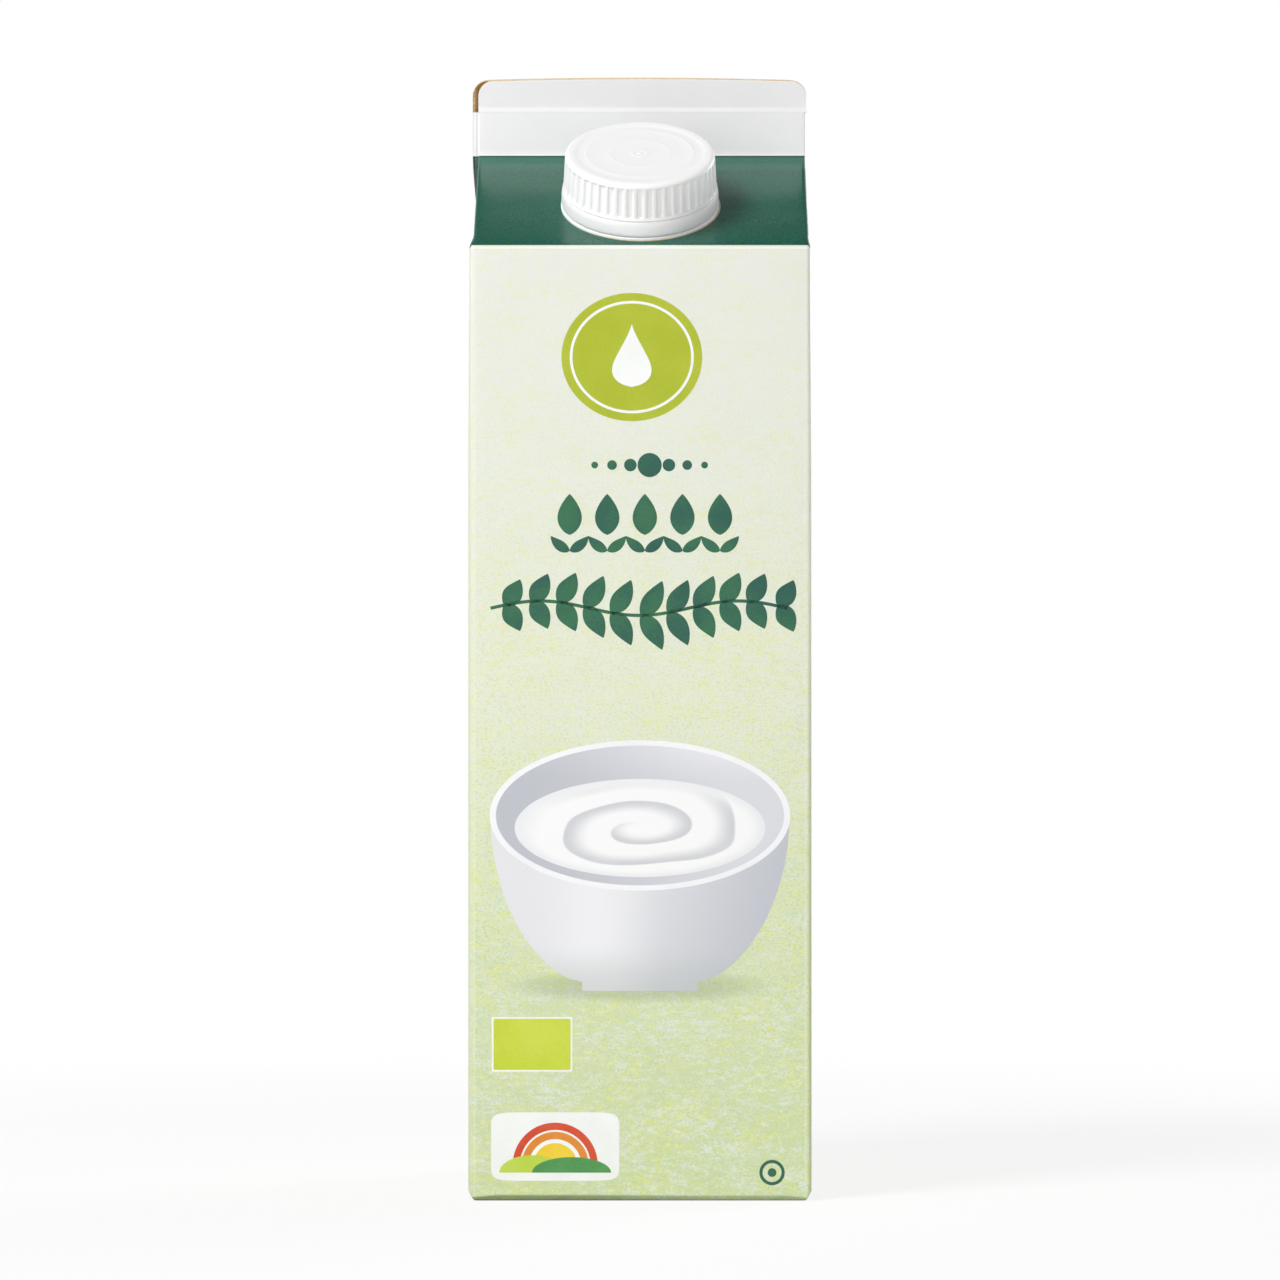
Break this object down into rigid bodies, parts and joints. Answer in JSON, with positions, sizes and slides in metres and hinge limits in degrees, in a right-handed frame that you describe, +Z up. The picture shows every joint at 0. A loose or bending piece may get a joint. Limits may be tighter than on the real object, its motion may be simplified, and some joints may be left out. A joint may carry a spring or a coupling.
{
  "type": "yoghurt carton",
  "caption": "Tall gable-top yoghurt carton with an upright sealed fin, folded-in roof ends, pale green printed sides, a dark green roof and a white ribbed screw cap.",
  "frame": {"origin": "middle of the base, on the surface that the carton stands on", "axes": "+Z up along the carton's height, -Y out of the front face and the spout's roof panel, +X to the right seen from the front"},
  "size_m": [0.072, 0.0746, 0.2365],
  "materials": {
    "printed_board": "smooth plastic-coated board, printed pale green with a dark green roof, satin",
    "white_plastic": "moulded white polyethylene, satin"
  },
  "bodies": {
    "root": {"carton": "printed_board", "spout": "white_plastic", "tamper_band": "white_plastic", "cap": "white_plastic"}
  },
  "joints": []
}
